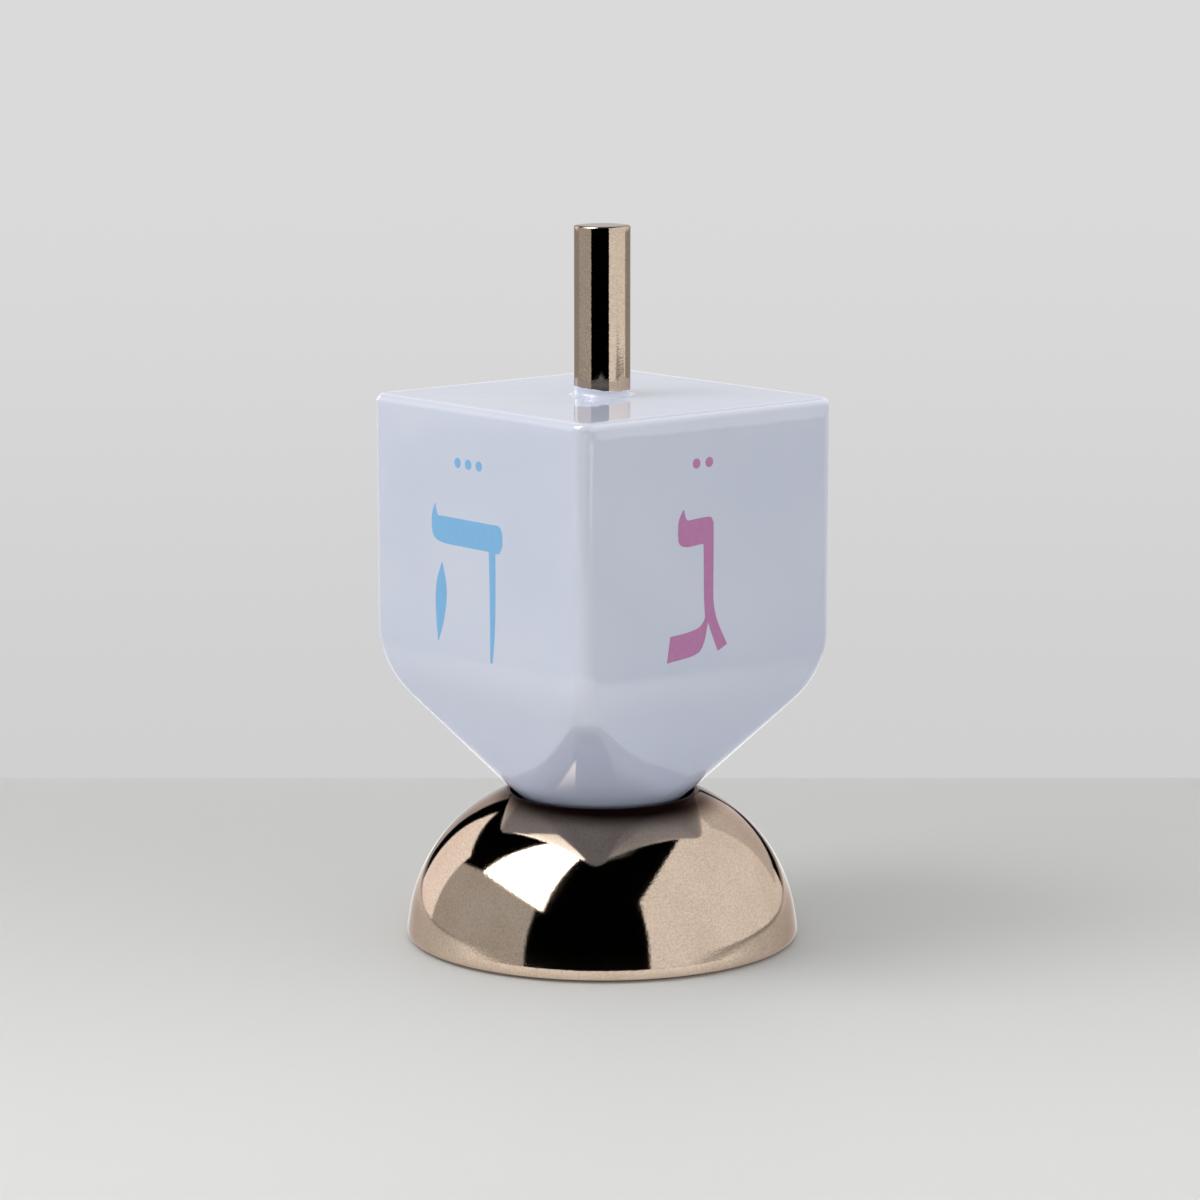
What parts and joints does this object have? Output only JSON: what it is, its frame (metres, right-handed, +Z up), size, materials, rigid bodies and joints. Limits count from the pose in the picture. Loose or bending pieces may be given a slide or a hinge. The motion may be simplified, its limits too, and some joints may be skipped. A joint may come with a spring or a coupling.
{
  "type": "dreidel",
  "caption": "Square glazed porcelain dreidel with a round tip and a bright stem, standing in the cushioned seat of a domed stand.",
  "frame": {"origin": "middle of the underside of the stand's pad, on the table", "axes": "+Z up through the tip and the stem; the four faces look along +X, +Y, -X and -Y"},
  "size_m": [0.072, 0.072, 0.1309],
  "materials": {
    "platinum_lustre": "mirror-bright platinum lustre on glazed porcelain",
    "felt": "dense dark felt",
    "black_rubber": "soft satin black",
    "glazed_porcelain": "glossy pale lavender glaze",
    "stem_lustre": "mirror-bright platinum lustre over a glazed foot"
  },
  "bodies": {
    "stand": {"stand_dome": "platinum_lustre", "base_pad": "felt"},
    "cushion": {"seat_ring": "black_rubber"},
    "dreidel": {"dreidel_body": "glazed_porcelain", "stem": "stem_lustre"}
  },
  "joints": [
    {"name": "spin", "type": "hinge", "parent": "stand", "child": "cushion", "pos_m": [0, 0, 0.0241], "axis": [0, 0, 1], "continuous": true},
    {"name": "lift_out", "type": "slide", "parent": "cushion", "child": "dreidel", "axis": [0, 0, 1], "range_m": [0, 0.06]}
  ]
}
